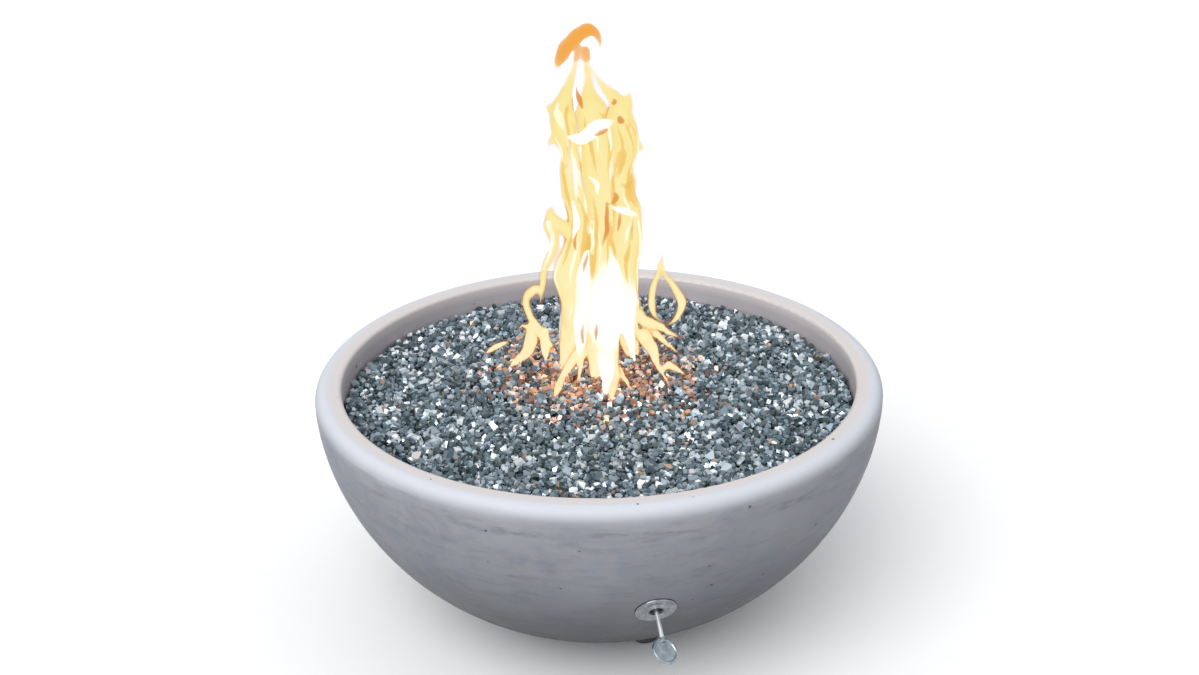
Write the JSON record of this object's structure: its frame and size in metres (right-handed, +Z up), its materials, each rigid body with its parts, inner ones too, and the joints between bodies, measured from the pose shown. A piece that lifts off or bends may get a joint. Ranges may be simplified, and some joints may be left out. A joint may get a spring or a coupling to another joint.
{
  "type": "gas fire bowl",
  "caption": "Round cast-cement gas fire bowl filled with broken fire glass, with a chrome-plated key valve in its lower wall and rubber feet.",
  "frame": {"origin": "on the floor, under the bowl's axis and the middle of its round base", "axes": "+Z up out of the fire, -Y towards the valve and key, +X to the right seen from the valve side"},
  "size_m": [0.9144, 0.9268, 0.415],
  "materials": {
    "cement": "cast glass-fibre cement, smooth from the mould, sealed, with small pits and soft clouding",
    "rubber": "moulded rubber, matte",
    "zinc_steel": "zinc plated steel",
    "stainless": "brushed stainless sheet and tube",
    "brass": "machined brass",
    "chrome": "polished chrome plate",
    "fire_glass": "broken reflective tempered glass, charcoal and blue grey",
    "hose_coat": "yellow plastic coat over a corrugated stainless gas line",
    "seal_plastic": "white PTFE"
  },
  "bodies": {
    "base": {"air_mixer": "brass", "bowl": "cement", "burner_crossbar": "stainless", "burner_hose": "hose_coat", "burner_hose_nuts": "brass", "burner_hub": "stainless", "burner_nipple": "zinc_steel", "burner_pan": "stainless", "burner_ring": "stainless", "escutcheon": "chrome", "fire_glass": "fire_glass", "foot_back": "rubber", "foot_front": "rubber", "foot_inserts": "brass", "foot_left": "rubber", "foot_screws": "zinc_steel", "inlet_fitting": "brass", "inlet_gasket": "rubber", "inlet_locknut": "brass", "key_sleeve": "zinc_steel", "packing_nut": "brass", "pan_locknut": "zinc_steel", "pan_washer": "zinc_steel", "sleeve_locknut": "zinc_steel", "sleeve_washer": "zinc_steel", "stem_seal": "seal_plastic", "supply_hose": "hose_coat", "supply_hose_nuts": "brass", "valve_body": "brass", "valve_end": "brass", "valve_seats": "seal_plastic"},
    "valve_stem": {"valve_stem": "brass", "valve_ball": "chrome"},
    "key": {"key_socket": "chrome", "key_rod": "chrome", "key_handle": "chrome"}
  },
  "joints": [
    {"name": "valve_turn", "type": "hinge", "parent": "base", "child": "valve_stem", "pos_m": [0.07978, -0.3925, 0.21093], "axis": [0.171, -0.8413, -0.5128], "range_deg": [-90, 0]},
    {"name": "key_pull", "type": "slide", "parent": "valve_stem", "child": "key", "axis": [0.171, -0.8413, -0.5128], "range_m": [0, 0.06]}
  ]
}
